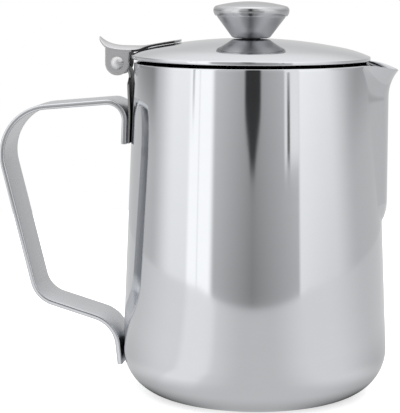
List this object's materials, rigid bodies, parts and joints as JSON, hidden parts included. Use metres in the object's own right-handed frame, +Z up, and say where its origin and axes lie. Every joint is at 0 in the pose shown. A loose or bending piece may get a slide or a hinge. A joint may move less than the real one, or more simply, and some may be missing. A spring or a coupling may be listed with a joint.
{
  "type": "hot milk jug with lid",
  "caption": "Tapered stainless jug with a pressed V spout, a bent strap handle and a hinged domed lid with a thumb lever and a round knob, for serving hot milk.",
  "frame": {"origin": "middle of the flat base, on the pot's axis", "axes": "+Z up along the pot's axis, +X towards the spout, -X towards the handle and the hinge"},
  "size_m": [0.1788, 0.12, 0.1765],
  "materials": {
    "polished_steel": "mirror polished",
    "satin_steel": "satin",
    "brushed_knob_steel": "brushed round the axis",
    "rivet_steel": "plain bright",
    "dark_steel": "unpolished, dark"
  },
  "bodies": {
    "jug": {"jug_body": "polished_steel", "handle_strap": "satin_steel", "hinge_leaf": "dark_steel"},
    "lid": {"lid_cover": "polished_steel", "thumb_lever": "satin_steel", "hinge_pin": "rivet_steel", "knob_collar": "dark_steel", "knob_bowl": "brushed_knob_steel", "knob_cap": "polished_steel", "knob_nut": "rivet_steel", "knob_washer": "rivet_steel", "knob_screw": "rivet_steel"}
  },
  "joints": [
    {"name": "lid_hinge", "type": "hinge", "parent": "jug", "child": "lid", "pos_m": [-0.0619, 0, 0.14885], "axis": [0, -1, 0], "range_deg": [0, 110]}
  ]
}
